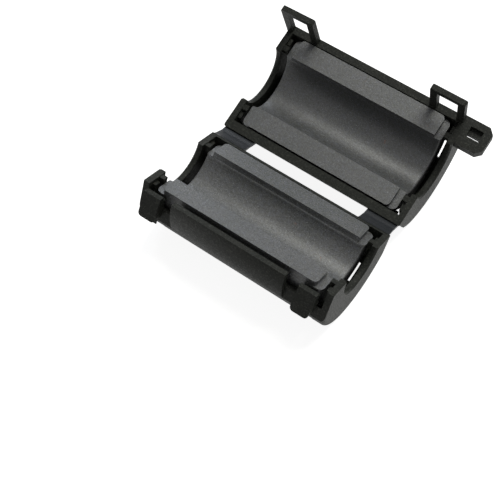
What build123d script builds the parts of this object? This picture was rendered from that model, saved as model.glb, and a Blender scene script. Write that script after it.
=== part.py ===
"""Clip-on ferrite bead, lying open.

Two half cases of one nylon moulding are joined by a pair of living-hinge straps, and each half holds
one half of a split ferrite core. Frames hooked over catches keep the bead shut around a cable.

Millimetres. X runs along the cable, and the origin is on the lower half's cable axis at mid-length.
Each half is drawn in a frame of its own: X along the cable, Z out of the mating plane, and Y across,
towards the hinge on the lower half and away from it on the upper half.
"""

import os
from math import atan2, cos, degrees, radians, sin

from build123d import *

# Case
body_length = 32.4
case_radius = 10.25
case_wall = 0.95
end_wall = 1.0
end_round = 0.55
cable_hole_radius = 4.75
cable_hole_chamfer = 0.25
rim_clearance = 0.08

# Flats near the mating plane, as depths in from the case's radius
lower_hinge_inset = 1.25
lower_hinge_wall = 0.52
upper_hinge_inset = 0.7
upper_hinge_wall = 0.95
upper_hinge_draft = 0.163
upper_latch_inset = 0.49
upper_latch_wall = 1.26
flange_inset = 0.18
flange_thickness = 0.35

# Ferrite core
core_bore_radius = 4.9
core_outer_round = 0.9
core_step_length = 1.1
core_step_depth = 0.9
core_step_round = 0.7
core_inner_round = 0.35
core_end_gap = 1.0
core_wall_gap = 0.94
land_clearance = 0.02
core_clearance = 0.06

# Ledges and claws that hold the core
rail_angle = 58.0
rail_span = 8.0
claw_width = 0.9
claw_offset = 0.5
claw_height = 1.1
claw_drop = 0.2
claw_clearance = 0.12
pad_width = 1.1
pad_offset = 2.3
pad_height = 3.0
pad_drop = 0.7

# Openings in the curved wall; angles are measured from the middle of the half
window_length = 2.2
window_end_gap = 1.05
window_start = 30.0
window_end = 50.0
tongue_tip_place = 6.1
tongue_length = 4.9
tongue_half_angle = 14.0
tongue_gap = 1.1
tongue_side_gap_angle = 3.2
tongue_pad_length = 0.9

# Hinge
open_angle = 140.5
hinge_gap = 0.79
hinge_drop = 0.37
strap_width = 5.75
strap_end_inset = 0.25
strap_thickness = 0.45
strap_lower_depth = 0.33
strap_upper_depth = 1.08
strap_sag = 0.15
strap_seam = 0.01

# Latches, placed from the ends of the case
left_latch_inset = 2.5
right_latch_inset = 3.4
left_latch_lean = -2.5
right_latch_lean = 0.0
loop_width = 5.9
loop_arm = 1.2
loop_bar = 0.95
loop_length = 6.0
loop_thickness = 0.9
loop_root_depth = 3.0
loop_round = 0.35
loop_clearance = 0.05
catch_side_clearance = 0.3
catch_end_clearance = 0.15
catch_thickness = 0.9
catch_top_inset = 0.38
catch_top_drop = 0.75
catch_slope = 0.6
catch_foot_round = 0.6
catch_rib_clearance = 0.09
catch_rib_drop = 1.3
catch_rib_root = 1.5
latch_inset = 1.55
lip_clearance = 0.6

# Strap eye
eye_length = 4.45
eye_width = 4.75
eye_thickness = 1.6
eye_corner = 0.9
eye_outer_inset = 0.2
eye_slot_start = 0.95
eye_slot_length = 2.15
eye_slot_inset = 2.6
eye_slot_width = 0.65
eye_step_width = 1.1
eye_step_depth = 0.75

half_length = body_length / 2
inner_half_length = half_length - end_wall
inner_radius = case_radius - case_wall
lower_hinge_flat = case_radius - lower_hinge_inset
lower_hinge_inside = lower_hinge_flat - lower_hinge_wall
upper_hinge_flat = case_radius - upper_hinge_inset
upper_hinge_inside = upper_hinge_flat - upper_hinge_wall
upper_latch_flat = case_radius - upper_latch_inset
upper_latch_inside = upper_latch_flat - upper_latch_wall
flange_edge = case_radius - flange_inset
latch_flat = case_radius - latch_inset
core_seat_radius = inner_radius - core_wall_gap
core_radius = core_seat_radius - core_clearance
core_half_length = inner_half_length - core_end_gap
claw_centre = core_bore_radius + claw_offset + claw_width / 2
tongue_tip = half_length - tongue_tip_place
latch_places = (left_latch_inset - half_length, half_length - right_latch_inset)
latch_leans = (left_latch_lean, right_latch_lean)
loop_outer_face = latch_flat + loop_clearance + loop_thickness
catch_width = loop_width - 2 * loop_arm - 2 * catch_side_clearance
catch_height = loop_length - loop_bar - catch_end_clearance
catch_rib_inside = core_seat_radius + catch_rib_clearance
strap_end = half_length - strap_end_inset
strap_start = strap_end - strap_width
hinge_reach = case_radius + hinge_gap
arm_tilt = (180 - open_angle) / 2
arm_offset = degrees(atan2(hinge_drop, hinge_reach))
lower_tilt = radians(arm_tilt - arm_offset)
upper_tilt = radians(arm_tilt + arm_offset)

lower_frame = Plane(origin=(0, 0, 0), x_dir=(1, 0, 0), z_dir=(0, sin(lower_tilt), cos(lower_tilt)))
hinge_point = lower_frame.from_local_coords(Vector(0, hinge_reach, -hinge_drop))
upper_turn = Plane(origin=hinge_point, x_dir=(1, 0, 0), z_dir=(0, -sin(upper_tilt), cos(upper_tilt)))
upper_frame = Plane(
    origin=upper_turn.from_local_coords(Vector(0, hinge_reach, -hinge_drop)),
    x_dir=(1, 0, 0),
    z_dir=(0, -sin(upper_tilt), cos(upper_tilt)),
)


def section(frame, x):
    """Plane across the cable at x, with its own x along the half's Y and its own y along the half's Z."""
    return Plane(origin=frame.from_local_coords(Vector(x, 0, 0)), x_dir=frame.y_dir, z_dir=frame.x_dir)


def extrude_between(frame, x_start, x_end, draw, mode=Mode.ADD):
    """Extrude what draw() sketches on the section plane from x_start to x_end."""
    with BuildSketch(section(frame, x_start)) as profile:
        draw()
    extrude(profile.sketch, amount=x_end - x_start, mode=mode)


def draw_half_disc(radius, low_chord, high_chord, top):
    """Disc between two upright chords, below the height top."""
    Circle(radius)
    with Locations((-low_chord, 0)):
        Rectangle(2 * radius, 4 * radius, align=(Align.MAX, Align.CENTER), mode=Mode.SUBTRACT)
    with Locations((high_chord, 0)):
        Rectangle(2 * radius, 4 * radius, align=(Align.MIN, Align.CENTER), mode=Mode.SUBTRACT)
    with Locations((0, top)):
        Rectangle(4 * radius, 2 * radius, align=(Align.CENTER, Align.MIN), mode=Mode.SUBTRACT)


def draw_sector(inner, outer, start, end):
    """Ring sector; start and end are degrees from straight down, positive towards +Y."""
    with BuildLine() as outline:
        outer_arc = CenterArc((0, 0), outer, start - 90, end - start)
        inner_arc = CenterArc((0, 0), inner, start - 90, end - start)
        Line(outer_arc @ 0, inner_arc @ 0)
        Line(outer_arc @ 1, inner_arc @ 1)
    make_face(outline.edges())


def add_box(size, place, align=(Align.CENTER, Align.CENTER, Align.CENTER), mode=Mode.ADD):
    """Box in the active part's own frame."""
    with Locations(place):
        Box(*size, align=align, mode=mode)


def add_shell(frame, outer_chords, inner_chords):
    """Curved wall and the two end walls of one half, open at the mating plane."""
    extrude_between(
        frame,
        -half_length,
        half_length,
        lambda: draw_half_disc(case_radius, *outer_chords, -rim_clearance),
    )
    outer_rims = edges().filter_by(GeomType.CIRCLE)
    fillet(outer_rims, radius=end_round)
    extrude_between(
        frame,
        -inner_half_length,
        inner_half_length,
        lambda: draw_half_disc(inner_radius, *inner_chords, case_radius),
        mode=Mode.SUBTRACT,
    )


def cut_cable_holes(frame):
    """Half-round notch through both end walls, with its outer edge broken."""
    extrude_between(
        frame, -body_length, body_length, lambda: Circle(cable_hole_radius), mode=Mode.SUBTRACT
    )
    hole_edges = edges().filter_by(
        lambda edge: edge.geom_type == GeomType.CIRCLE
        and abs(edge.radius - cable_hole_radius) < 0.01
        and abs(abs(edge.center().X) - half_length) < 0.01
    )
    chamfer(hole_edges, length=cable_hole_chamfer)


def cut_wall(frame, x_start, x_end, start, end):
    """Opening through the curved wall alone."""
    extrude_between(
        frame,
        min(x_start, x_end),
        max(x_start, x_end),
        lambda: draw_sector(core_seat_radius, case_radius + 1, start, end),
        mode=Mode.SUBTRACT,
    )


def cut_windows_and_tongues(frame):
    """At each end two windows beside the end wall and, inboard, a U-shaped slot that frees a tongue."""
    tongue_root = tongue_tip - tongue_length
    slot_end = tongue_tip + tongue_gap
    window_outer = inner_half_length - window_end_gap
    slot_angle = tongue_half_angle + tongue_side_gap_angle
    for end in (-1, 1):
        for side in (-1, 1):
            window = sorted((side * window_start, side * window_end))
            cut_wall(frame, end * (window_outer - window_length), end * window_outer, *window)
            leg = sorted((side * tongue_half_angle, side * slot_angle))
            cut_wall(frame, end * tongue_root, end * slot_end, *leg)
        cut_wall(frame, end * (slot_end - tongue_gap), end * slot_end, -slot_angle, slot_angle)


def add_core_seat(frame):
    """Two rails along the case and a pad under each tongue tip, a hair clear of the core."""
    for side in (-1, 1):
        rail = sorted((side * rail_angle, side * (rail_angle + rail_span)))
        extrude_between(
            frame,
            -core_half_length,
            core_half_length,
            lambda: draw_sector(core_seat_radius, inner_radius + case_wall / 2, *rail),
        )
    for end in (-1, 1):
        pad = sorted((end * (tongue_tip - tongue_pad_length), end * tongue_tip))
        extrude_between(
            frame,
            *pad,
            lambda: draw_sector(
                core_seat_radius, inner_radius + case_wall / 2, -tongue_half_angle, tongue_half_angle
            ),
        )


def add_end_stops(frame):
    """Claws at the corners of the cable holes and pads beside them, between core and end walls."""
    for end in (-1, 1):
        outward = Align.MIN if end > 0 else Align.MAX
        for side in (-1, 1):
            add_box(
                (core_end_gap - claw_clearance + end_wall / 2, claw_width, claw_height),
                (end * (core_half_length + claw_clearance), side * claw_centre, -claw_drop),
                align=(outward, Align.CENTER, Align.MAX),
            )
            add_box(
                (core_end_gap / 2 + end_wall / 2, pad_width, pad_height),
                (
                    end * (core_half_length + core_end_gap / 2),
                    side * (core_bore_radius + pad_offset),
                    -pad_drop,
                ),
                align=(outward, Align.CENTER, Align.MAX),
            )


def cut_round_corner(frame, centre, radius, sides, y_start, y_end):
    """Round one corner of a side outline, between y_start and y_end; sides point to the corner in X and Z."""
    side_view = Plane(
        origin=frame.from_local_coords(Vector(0, y_start, 0)), x_dir=frame.x_dir, z_dir=-frame.y_dir
    )
    with BuildSketch(side_view) as profile:
        with Locations(centre):
            Rectangle(
                2 * radius,
                2 * radius,
                align=[Align.MIN if side > 0 else Align.MAX for side in sides],
            )
            Circle(radius, mode=Mode.SUBTRACT)
            Rectangle(
                2 * radius,
                4 * radius,
                align=(Align.MAX if sides[0] > 0 else Align.MIN, Align.CENTER),
                mode=Mode.SUBTRACT,
            )
    extrude(profile.sketch, amount=y_start - y_end, mode=Mode.SUBTRACT)


def make_core(frame, label):
    """Half of the split ferrite cylinder, its ends rounded and its lands stopped short of them."""
    with BuildPart(frame) as core:
        extrude_between(
            frame,
            -core_half_length,
            core_half_length,
            lambda: draw_half_disc(core_radius, core_radius, core_radius, -land_clearance),
        )
        outer_rims = edges().filter_by(GeomType.CIRCLE)
        fillet(outer_rims, radius=core_outer_round)
        extrude_between(
            frame, -body_length, body_length, lambda: Circle(core_bore_radius), mode=Mode.SUBTRACT
        )
        bore_rims = edges().filter_by(
            lambda edge: edge.geom_type == GeomType.CIRCLE and abs(edge.radius - core_bore_radius) < 0.01
        )
        fillet(bore_rims, radius=core_inner_round)
        for end in (-1, 1):
            add_box(
                (2 * core_step_length, 2 * case_radius, 2 * core_step_depth),
                (end * core_half_length, 0, -land_clearance),
                mode=Mode.SUBTRACT,
            )
        step_corners = edges().filter_by(
            lambda edge: edge.geom_type == GeomType.CIRCLE
            and abs(edge.radius - core_radius) < 0.01
            and abs(abs(edge.center().X) - core_half_length + core_step_length) < 0.01
        )
        fillet(step_corners, radius=core_step_round)
    core.part.label = label
    return core


def cut_latch_recess(place):
    """Flat beside the mating plane that clears a loop, from the lip out to the end of the case."""
    outward = 1 if place > 0 else -1
    lip_end = abs(place) - loop_width / 2 - lip_clearance
    add_box(
        (half_length, case_radius, 2 * loop_length + 1),
        (outward * lip_end, -latch_flat, 0),
        align=(Align.MIN if outward > 0 else Align.MAX, Align.MAX, Align.CENTER),
        mode=Mode.SUBTRACT,
    )


def relief_at(depth):
    """Distance from the cable axis of the upper half's hinge side, at a depth under the mating plane."""
    return upper_hinge_flat - upper_hinge_draft * (depth - rim_clearance - flange_thickness)


def draw_hinge_relief():
    """Outside of the upper half's hinge side, which draws in below the flange."""
    flange_foot = rim_clearance + flange_thickness
    with BuildLine() as outline:
        Polyline(
            (-relief_at(flange_foot), -flange_foot),
            (-relief_at(case_radius), -case_radius),
            (-2 * case_radius, -case_radius),
            (-2 * case_radius, case_radius),
            (-flange_edge, case_radius),
            (-flange_edge, -flange_foot),
            close=True,
        )
    make_face(outline.edges())


def cut_hinge_relief(frame):
    """Draw the hinge side in below a thin flange, where the straps fold against it."""
    extrude_between(frame, -body_length, body_length, draw_hinge_relief, mode=Mode.SUBTRACT)


def draw_catch():
    """Wedge that the loop's bar rides over, square underneath."""
    outer = -case_radius + catch_top_inset
    inner = outer + catch_thickness
    with BuildLine() as outline:
        Polyline(
            (inner, -catch_top_drop),
            (outer, -catch_top_drop),
            (outer - catch_slope, -catch_height),
            (-catch_rib_inside, -catch_height),
            (-catch_rib_inside, -catch_rib_drop),
            (inner, -catch_rib_drop),
            close=True,
        )
    make_face(outline.edges())


def add_catch(frame, place):
    """Catch block with rounded lower corners, carried on the curved wall by a rib behind it."""
    extrude_between(frame, place - catch_width / 2, place + catch_width / 2, draw_catch)
    for side in (-1, 1):
        foot_corner = (
            place + side * (catch_width / 2 - catch_foot_round),
            catch_foot_round - catch_height,
        )
        cut_round_corner(
            frame, foot_corner, catch_foot_round, (side, -1), -case_radius - catch_slope, -latch_flat
        )
    add_box(
        (
            catch_width - 2 * catch_foot_round,
            latch_flat - catch_rib_inside,
            catch_rib_root + 0.5,
        ),
        (place, -catch_rib_inside, -catch_height + 0.5),
        align=(Align.CENTER, Align.MAX, Align.MAX),
    )


def add_loop(frame, place, lean):
    """Frame that hooks over a catch, standing up from the latch side of the upper half."""
    middle = catch_height / 2
    turn = radians(lean)
    face = Plane(
        origin=frame.from_local_coords(Vector(place, loop_outer_face, middle)),
        x_dir=frame.x_dir * cos(turn) - frame.z_dir * sin(turn),
        z_dir=frame.y_dir,
    )
    with BuildSketch(face) as profile:
        with Locations((0, middle - loop_length)):
            Rectangle(loop_width, loop_length + loop_root_depth, align=(Align.CENTER, Align.MIN))
        fillet(profile.vertices().group_by(Axis.Y)[0], radius=loop_round)
        with Locations((0, middle - loop_length + loop_bar)):
            Rectangle(
                loop_width - 2 * loop_arm,
                loop_length - loop_bar + 2 * rim_clearance,
                align=(Align.CENTER, Align.MIN),
                mode=Mode.SUBTRACT,
            )
    extrude(profile.sketch, amount=-loop_thickness)


def add_eye(frame):
    """Plate out past the end wall beside the right-hand loop, with a stepped slot for a tie."""
    eye_outer = case_radius - eye_outer_inset
    add_box(
        (eye_length + end_wall, eye_width, eye_thickness),
        (half_length - end_wall, eye_outer - eye_width, -rim_clearance),
        align=(Align.MIN, Align.MIN, Align.MAX),
    )
    outer_corners = edges().filter_by(
        lambda edge: abs(edge.center().X - half_length - eye_length) < 0.01
        and abs(edge.length - eye_thickness) < 0.01
    )
    chamfer(outer_corners, length=eye_corner)
    slot_x = half_length + eye_slot_start
    slot_y = eye_outer - eye_slot_inset - eye_slot_width / 2
    add_box(
        (eye_slot_length, eye_slot_width, 3 * eye_thickness),
        (slot_x, slot_y, 0),
        align=(Align.MIN, Align.MIN, Align.CENTER),
        mode=Mode.SUBTRACT,
    )
    add_box(
        (eye_slot_length, eye_slot_width + eye_step_width, 2 * eye_step_depth),
        (slot_x, slot_y, -rim_clearance),
        align=(Align.MIN, Align.MIN, Align.CENTER),
        mode=Mode.SUBTRACT,
    )
    add_box(
        (eye_slot_length, eye_slot_width + eye_step_width, 2 * eye_step_depth),
        (slot_x, slot_y - eye_step_width, -rim_clearance - eye_thickness),
        align=(Align.MIN, Align.MIN, Align.CENTER),
        mode=Mode.SUBTRACT,
    )


def strap_corners(frame, reach, depth):
    """Upper and lower corner of a strap's end, on the flat that it grows from."""
    half = strap_thickness / 2
    corners = [frame.from_local_coords(Vector(0, reach, -depth + rise)) for rise in (half, -half)]
    return [(corner.Y, corner.Z) for corner in corners]


def make_strap(x_start, x_end, label):
    """Living-hinge strap from the lower rim to the upper half below its flange, sagging a little."""
    upper_root = relief_at(strap_upper_depth - strap_thickness / 2) + strap_seam
    near_top, near_bottom = strap_corners(lower_frame, lower_hinge_flat + strap_seam, strap_lower_depth)
    far_top, far_bottom = strap_corners(upper_frame, -upper_root, strap_upper_depth)
    with BuildPart() as strap:
        with BuildSketch(Plane.YZ.offset(x_start)):
            with BuildLine():
                SagittaArc(near_top, far_top, -strap_sag)
                Line(far_top, far_bottom)
                SagittaArc(far_bottom, near_bottom, strap_sag)
                Line(near_bottom, near_top)
            make_face()
        extrude(amount=x_end - x_start)
    strap.part.label = label
    return strap


with BuildPart(lower_frame) as lower_case:
    add_shell(lower_frame, (case_radius, lower_hinge_flat), (inner_radius, lower_hinge_inside))
    cut_windows_and_tongues(lower_frame)
    add_core_seat(lower_frame)
    for place in latch_places:
        cut_latch_recess(place)
    add_end_stops(lower_frame)
    for place in latch_places:
        add_catch(lower_frame, place)
    cut_cable_holes(lower_frame)
lower_case.part.label = "lower_case"

with BuildPart(upper_frame) as upper_case:
    add_shell(upper_frame, (case_radius, upper_latch_flat), (upper_hinge_inside, upper_latch_inside))
    cut_hinge_relief(upper_frame)
    cut_windows_and_tongues(upper_frame)
    add_core_seat(upper_frame)
    add_end_stops(upper_frame)
    for place, lean in zip(latch_places, latch_leans):
        add_loop(upper_frame, place, lean)
    add_eye(upper_frame)
    cut_cable_holes(upper_frame)
upper_case.part.label = "upper_case"

lower_core = make_core(lower_frame, "lower_core")
upper_core = make_core(upper_frame, "upper_core")
left_hinge_strap = make_strap(-strap_end, -strap_start, "left_hinge_strap")
right_hinge_strap = make_strap(strap_start, strap_end, "right_hinge_strap")

os.makedirs("parts", exist_ok=True)
for piece in (lower_case, upper_case, lower_core, upper_core, left_hinge_strap, right_hinge_strap):
    export_step(piece.part, f"parts/{piece.part.label}.step")
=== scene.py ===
import math

import bpy
from mathutils import Matrix, Vector


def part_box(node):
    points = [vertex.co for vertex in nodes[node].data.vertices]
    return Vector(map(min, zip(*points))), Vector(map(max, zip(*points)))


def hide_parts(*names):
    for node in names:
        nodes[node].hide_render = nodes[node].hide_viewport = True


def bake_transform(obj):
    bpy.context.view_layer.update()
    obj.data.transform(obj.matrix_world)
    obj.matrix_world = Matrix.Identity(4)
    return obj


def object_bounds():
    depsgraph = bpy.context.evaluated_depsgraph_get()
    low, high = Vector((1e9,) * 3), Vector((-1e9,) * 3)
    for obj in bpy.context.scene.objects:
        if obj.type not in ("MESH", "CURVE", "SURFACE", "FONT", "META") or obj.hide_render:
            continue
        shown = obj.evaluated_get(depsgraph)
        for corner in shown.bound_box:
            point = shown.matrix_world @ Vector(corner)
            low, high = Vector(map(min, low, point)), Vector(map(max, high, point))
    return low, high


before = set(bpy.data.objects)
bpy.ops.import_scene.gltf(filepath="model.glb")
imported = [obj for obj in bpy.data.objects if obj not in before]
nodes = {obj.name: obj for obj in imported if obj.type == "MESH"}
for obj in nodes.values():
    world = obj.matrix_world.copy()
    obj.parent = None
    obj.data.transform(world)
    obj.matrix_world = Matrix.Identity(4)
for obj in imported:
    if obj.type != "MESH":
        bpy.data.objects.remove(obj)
cad_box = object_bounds()
scene = bpy.context.scene

MM = 0.001


# ---------------------------------------------------------------- camera

def make_camera():
    """The photograph's view, found by matching the model's outline to the photograph's."""
    data = bpy.data.cameras.new("camera")
    data.sensor_width = 36
    data.lens = 67.99
    data.shift_y = 0.0515
    data.clip_start = 0.01
    data.clip_end = 10
    camera = bpy.data.objects.new("camera", data)
    scene.collection.objects.link(camera)
    right = Vector((0.8177663, 0.5734616, 0.0489913))
    up = Vector((-0.5114480, 0.6850098, 0.5188280))
    back = right.cross(up)
    place = Vector((0.0390114, -0.0698614, 0.1117609))
    turn = Matrix((right, up, back)).transposed().to_4x4()
    camera.matrix_world = Matrix.Translation(place) @ turn
    scene.camera = camera


make_camera()


# ---------------------------------------------------------------- node helpers

class Shader:
    """Short names for building one material's nodes."""

    def __init__(self, name):
        self.material = bpy.data.materials.new(name)
        self.material.use_nodes = True
        self.nodes = self.material.node_tree.nodes
        self.links = self.material.node_tree.links
        self.nodes.clear()
        self.output = self.nodes.new("ShaderNodeOutputMaterial")
        self.principled = self.nodes.new("ShaderNodeBsdfPrincipled")
        self.links.new(self.principled.outputs[0], self.output.inputs["Surface"])
        place = self.nodes.new("ShaderNodeTexCoord")
        self.millimetres = self.nodes.new("ShaderNodeMapping")
        self.millimetres.inputs["Scale"].default_value = (1 / MM, 1 / MM, 1 / MM)
        self.links.new(place.outputs["Object"], self.millimetres.inputs["Vector"])

    def put(self, socket, value):
        if isinstance(value, bpy.types.NodeSocket):
            self.links.new(value, socket)
        else:
            socket.default_value = value

    def drive(self, name, value):
        self.put(self.principled.inputs[name], value)

    def gloss(self, specular, ior):
        self.principled.inputs["Specular IOR Level"].default_value = specular
        self.principled.inputs["IOR"].default_value = ior

    def noise(self, scale, detail=3.0, rough=0.55, stretch=None):
        node = self.nodes.new("ShaderNodeTexNoise")
        node.inputs["Scale"].default_value = scale
        node.inputs["Detail"].default_value = detail
        node.inputs["Roughness"].default_value = rough
        vector = self.millimetres.outputs[0]
        if stretch:
            mapping = self.nodes.new("ShaderNodeMapping")
            mapping.inputs["Scale"].default_value = stretch
            self.links.new(vector, mapping.inputs["Vector"])
            vector = mapping.outputs[0]
        self.links.new(vector, node.inputs["Vector"])
        return node.outputs["Fac"]

    def remap(self, value, low, high, out_low=0.0, out_high=1.0):
        node = self.nodes.new("ShaderNodeMapRange")
        self.put(node.inputs["Value"], value)
        node.inputs["From Min"].default_value = low
        node.inputs["From Max"].default_value = high
        node.inputs["To Min"].default_value = out_low
        node.inputs["To Max"].default_value = out_high
        return node.outputs["Result"]

    def math(self, operation, a, b=0.0):
        node = self.nodes.new("ShaderNodeMath")
        node.operation = operation
        self.put(node.inputs[0], a)
        self.put(node.inputs[1], b)
        return node.outputs[0]

    def mix(self, factor, a, b):
        node = self.nodes.new("ShaderNodeMix")
        node.data_type = "RGBA"
        self.put(node.inputs["Factor"], factor)
        self.put(node.inputs["A"], a)
        self.put(node.inputs["B"], b)
        return node.outputs["Result"]

    def bump(self, height, strength, distance, below=None):
        node = self.nodes.new("ShaderNodeBump")
        node.inputs["Strength"].default_value = strength
        node.inputs["Distance"].default_value = distance
        self.links.new(height, node.inputs["Height"])
        if below:
            self.links.new(below, node.inputs["Normal"])
        return node.outputs["Normal"]


def linear(red, green, blue):
    """A colour given in display values, 0 to 255."""
    def convert(value):
        value /= 255
        return value / 12.92 if value <= 0.04045 else ((value + 0.055) / 1.055) ** 2.4
    return (convert(red), convert(green), convert(blue), 1.0)


# ---------------------------------------------------------------- materials

def make_nylon():
    """Black moulded nylon: fine spark-eroded grain with scattered pale specks and faint scuffs."""
    s = Shader("black_nylon")
    cloud = s.remap(s.noise(scale=0.3, detail=3), 0.35, 0.65)
    grain = s.noise(scale=3.4, detail=4, rough=0.7)
    fine_grain = s.noise(scale=8.0, detail=2, rough=0.6)
    scuffs = s.remap(s.noise(scale=1.1, detail=4, rough=0.6, stretch=(0.35, 2.2, 1.0)), 0.60, 0.74)
    base = s.mix(cloud, linear(27, 29, 26), linear(34, 35, 32))
    speckled = s.mix(s.remap(grain, 0.52, 0.68), base, linear(58, 59, 54))
    scuffed = s.mix(s.math("MULTIPLY", scuffs, 0.35), speckled, linear(72, 73, 74))
    pits = s.remap(fine_grain, 0.42, 0.28)
    pitted = s.mix(s.math("MULTIPLY", pits, 0.6), scuffed, linear(10, 11, 9))
    s.drive("Base Color", pitted)
    s.drive("Roughness", s.remap(grain, 0.3, 0.7, out_low=0.62, out_high=0.42))
    s.gloss(specular=0.1, ior=1.5)
    coarse = s.bump(grain, strength=0.8, distance=0.06 * MM)
    s.drive("Normal", s.bump(fine_grain, strength=0.5, distance=0.025 * MM, below=coarse))
    return s.material


def make_hinge_nylon():
    """The same nylon where the hinge web is pressed thin: smoother, with ridges along the fold."""
    s = Shader("hinge_nylon")
    ridges = s.noise(scale=1.0, detail=3, rough=0.6, stretch=(0.06, 5.0, 5.0))
    grain = s.noise(scale=9.0, detail=3, rough=0.6)
    base = s.mix(s.remap(ridges, 0.35, 0.65), linear(24, 26, 27), linear(40, 42, 46))
    s.drive("Base Color", s.mix(s.remap(grain, 0.55, 0.75), base, linear(50, 52, 55)))
    s.drive("Roughness", s.remap(ridges, 0.3, 0.7, out_low=0.5, out_high=0.34))
    s.gloss(specular=0.2, ior=1.5)
    ridge_bump = s.bump(ridges, strength=0.6, distance=0.05 * MM)
    s.drive("Normal", s.bump(grain, strength=0.3, distance=0.015 * MM, below=ridge_bump))
    return s.material


def make_ferrite():
    """Sintered ferrite: grey grain, dark pores, fine grinding lines across and rare brown specks."""
    s = Shader("ground_ferrite")
    cloud = s.remap(s.noise(scale=0.22, detail=3), 0.35, 0.65)
    grain = s.noise(scale=3.0, detail=5, rough=0.8)
    fine_grain = s.noise(scale=6.5, detail=3, rough=0.75)
    lines = s.noise(scale=1.0, detail=3, rough=0.6, stretch=(5.5, 0.16, 0.16))
    tint = s.remap(s.noise(scale=2.0, detail=3, rough=0.6), 0.40, 0.60)
    pores = s.remap(s.noise(scale=2.6, detail=3, rough=0.6), 0.67, 0.73)
    rust = s.remap(s.noise(scale=0.9, detail=2, rough=0.5), 0.745, 0.78)
    base = s.mix(cloud, linear(68, 70, 67), linear(79, 79, 78))
    tinted = s.mix(s.math("MULTIPLY", tint, 0.45), base, linear(74, 77, 90))
    grained = s.mix(s.remap(grain, 0.40, 0.56), linear(46, 47, 44), tinted)
    bright = s.mix(s.remap(fine_grain, 0.56, 0.70), grained, linear(134, 135, 138))
    lined = s.mix(s.math("MULTIPLY", s.remap(lines, 0.60, 0.72), 0.3), bright, linear(55, 55, 56))
    pored = s.mix(pores, lined, linear(18, 18, 17))
    specked = s.mix(s.math("MULTIPLY", rust, 0.5), pored, linear(110, 72, 52))
    s.drive("Base Color", specked)
    s.drive("Roughness", s.remap(grain, 0.3, 0.7, out_low=0.50, out_high=0.34))
    s.gloss(specular=0.4, ior=1.6)
    rough_skin = s.bump(grain, strength=0.6, distance=0.05 * MM)
    ground = s.bump(lines, strength=0.25, distance=0.02 * MM, below=rough_skin)
    s.drive("Normal", s.bump(fine_grain, strength=0.35, distance=0.015 * MM, below=ground))
    return s.material


nylon = make_nylon()
hinge_nylon = make_hinge_nylon()
ferrite = make_ferrite()


def dress(obj, material):
    obj.data.materials.clear()
    obj.data.materials.append(material)


WELD_DISTANCE = 1e-6
FLAT_ANGLE = math.radians(0.5)
SHARP_ANGLE = math.radians(32)
CASE_BEVEL = 0.09 * MM
CORE_BEVEL = 0.07 * MM


def soften_edges(obj, width):
    """Rounds the sharp edges of a CAD node by modifiers alone."""
    weld = obj.modifiers.new("weld", "WELD")
    weld.merge_threshold = WELD_DISTANCE
    flat = obj.modifiers.new("flat", "DECIMATE")
    flat.decimate_type = "DISSOLVE"
    flat.angle_limit = FLAT_ANGLE
    bevel = obj.modifiers.new("bevel", "BEVEL")
    bevel.width = width
    bevel.segments = 2
    bevel.limit_method = "ANGLE"
    bevel.angle_limit = SHARP_ANGLE
    bevel.use_clamp_overlap = True
    bevel.harden_normals = True


for name in ("lower_case", "upper_case"):
    dress(nodes[name], nylon)
    soften_edges(nodes[name], CASE_BEVEL)
for name in ("lower_core", "upper_core"):
    dress(nodes[name], ferrite)
    soften_edges(nodes[name], CORE_BEVEL)


# ---------------------------------------------------------------- hinge straps

# Millimetres; the two points are Y and Z.
STRAP_NEAR = Vector((8.476, -3.073))
STRAP_FAR = Vector((12.372, -4.509))
STRAP_SAG = 0.15
STRAP_ROOT = 0.12
STRAP_THICK = 0.45
STRAP_THIN = 0.32
ROOT_SWELL = 0.06
WAIST = 0.10
RIGHT_INNER_TRIM = 0.35

# Fractions of the strap's length.
FOLD_SPREAD = 0.09
ROOT_SPREAD = 0.06
TANGENT_STEP = 0.01
BLEND_MARGIN = 0.08

# Faces along and across the strap.
STRAP_STEPS = 28
STRAP_ROWS = 12


def strap_line(t):
    """Middle of the strap's thickness, in Y and Z millimetres, from the lower rim to the upper flat."""
    chord = STRAP_FAR - STRAP_NEAR
    along = chord.normalized()
    point = STRAP_NEAR + chord * t
    point += along * STRAP_ROOT * (2 * t - 1)
    return point - Vector((-along.y, along.x)) * STRAP_SAG * 4 * t * (1 - t)


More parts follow.
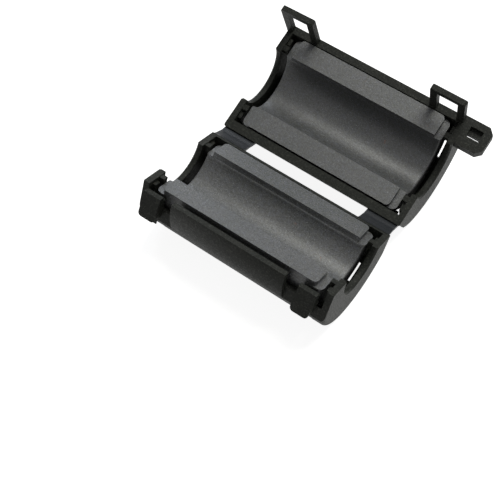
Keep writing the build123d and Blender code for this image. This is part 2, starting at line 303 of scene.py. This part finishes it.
def make_strap(node, side, inner_trim):
    """Living-hinge strap: a thin web, thinnest along its fold, that bends between the halves."""
    low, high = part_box(node)
    low.x += inner_trim * MM
    steps, rows = STRAP_STEPS, STRAP_ROWS
    mesh = bpy.data.meshes.new(node + "_web")
    vertices, faces = [], []
    for i in range(steps + 1):
        t = i / steps
        point = strap_line(t)
        ahead = strap_line(min(t + TANGENT_STEP, 1))
        behind = strap_line(max(t - TANGENT_STEP, 0))
        along = (ahead - behind).normalized()
        up = Vector((-along.y, along.x))
        fold = math.exp(-(((t - 0.5) / FOLD_SPREAD) ** 2))
        ends = math.exp(-((t / ROOT_SPREAD) ** 2)) + math.exp(-(((1 - t) / ROOT_SPREAD) ** 2))
        half = STRAP_THICK / 2 - (STRAP_THICK - STRAP_THIN) / 2 * fold + ROOT_SWELL * ends
        waist = WAIST * (1 - (2 * t - 1) ** 2)
        for face in (1, -1):
            for j in range(rows + 1):
                across = j / rows
                x = low.x / MM + waist + (high.x - low.x - 2 * waist * MM) / MM * across
                place = point + up * half * face
                vertices.append((x * MM, place.x * MM, place.y * MM))
    ring = 2 * (rows + 1)

    def at(i, face, j):
        return i * ring + face * (rows + 1) + j

    for i in range(steps):
        for j in range(rows):
            faces.append((at(i, 0, j), at(i + 1, 0, j), at(i + 1, 0, j + 1), at(i, 0, j + 1)))
            faces.append((at(i, 1, j), at(i, 1, j + 1), at(i + 1, 1, j + 1), at(i + 1, 1, j)))
        faces.append((at(i, 0, 0), at(i, 1, 0), at(i + 1, 1, 0), at(i + 1, 0, 0)))
        faces.append((at(i, 0, rows), at(i + 1, 0, rows), at(i + 1, 1, rows), at(i, 1, rows)))
    for j in range(rows):
        faces.append((at(0, 0, j), at(0, 0, j + 1), at(0, 1, j + 1), at(0, 1, j)))
        faces.append((at(steps, 0, j), at(steps, 1, j), at(steps, 1, j + 1), at(steps, 0, j + 1)))
    mesh.from_pydata(vertices, [], faces)
    mesh.validate()
    mesh.update()
    web = bpy.data.objects.new(side + "_hinge_web", mesh)
    scene.collection.objects.link(web)
    mesh.materials.append(hinge_nylon)
    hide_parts(node)
    start = strap_line(BLEND_MARGIN)
    end = strap_line(1 - BLEND_MARGIN)
    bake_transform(web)


make_strap("left_hinge_strap", "left", 0)
make_strap("right_hinge_strap", "right", RIGHT_INNER_TRIM)


# ---------------------------------------------------------------- stage and light

FLOOR_HALF_SIZE = 3.0
FLOOR_GREY = 0.45
FLOOR_GLOW = 0.9


def make_floor():
    """Pale floor. Its glow shows to the camera, in reflections and through glass, and lights nothing else."""
    mesh = bpy.data.meshes.new("floor")
    size, z = FLOOR_HALF_SIZE, cad_box[0].z
    corners = [(-size, -size, z), (size, -size, z), (size, size, z), (-size, size, z)]
    mesh.from_pydata(corners, [], [(0, 1, 2, 3)])
    floor = bpy.data.objects.new("floor", mesh)
    scene.collection.objects.link(floor)
    s = Shader("pale_floor")
    s.drive("Base Color", (FLOOR_GREY, FLOOR_GREY, FLOOR_GREY, 1))
    s.drive("Roughness", 0.9)
    s.drive("Specular IOR Level", 0.1)
    path = s.nodes.new("ShaderNodeLightPath")
    seen = s.math("MAXIMUM", path.outputs["Is Camera Ray"], path.outputs["Is Glossy Ray"])
    seen = s.math("MAXIMUM", seen, path.outputs["Is Transmission Ray"])
    s.drive("Emission Color", (1, 1, 1, 1))
    s.drive("Emission Strength", s.math("MULTIPLY", seen, FLOOR_GLOW))
    mesh.materials.append(s.material)


AMBIENT = 0.16
WHITE = 1.0
LIGHT_AIM = (0, 0.01, 0)


def make_world():
    """White where it is seen, reflected or looked through; a weak even light everywhere else."""
    world = bpy.data.worlds.new("studio")
    scene.world = world
    world.use_nodes = True
    tree = world.node_tree
    tree.nodes.clear()

    def background(strength):
        node = tree.nodes.new("ShaderNodeBackground")
        node.inputs["Color"].default_value = (1, 1, 1, 1)
        node.inputs["Strength"].default_value = strength
        return node.outputs[0]

    def either(a, b):
        node = tree.nodes.new("ShaderNodeMath")
        node.operation = "MAXIMUM"
        tree.links.new(a, node.inputs[0])
        tree.links.new(b, node.inputs[1])
        return node.outputs[0]

    path = tree.nodes.new("ShaderNodeLightPath").outputs
    seen = either(either(path["Is Camera Ray"], path["Is Transmission Ray"]), path["Is Glossy Ray"])
    mix = tree.nodes.new("ShaderNodeMixShader")
    output = tree.nodes.new("ShaderNodeOutputWorld")
    tree.links.new(seen, mix.inputs[0])
    tree.links.new(background(AMBIENT), mix.inputs[1])
    tree.links.new(background(WHITE), mix.inputs[2])
    tree.links.new(mix.outputs[0], output.inputs["Surface"])


def make_light(name, place, size, power, colour):
    data = bpy.data.lights.new(name, "AREA")
    data.shape = "DISK"
    data.size = size
    data.energy = power
    data.color = colour
    light = bpy.data.objects.new(name, data)
    light.location = place
    light.rotation_euler = (Vector(LIGHT_AIM) - Vector(place)).to_track_quat("-Z", "Y").to_euler()
    scene.collection.objects.link(light)


make_floor()
make_world()
make_light("overhead", (0.03, 0.22, 0.57), size=0.36, power=3.0, colour=(1.0, 1.0, 0.94))
make_light("rear_window", (-0.30, 0.42, 0.26), size=0.20, power=0.55, colour=(0.80, 0.88, 1.0))

scene.view_settings.view_transform = "Standard"
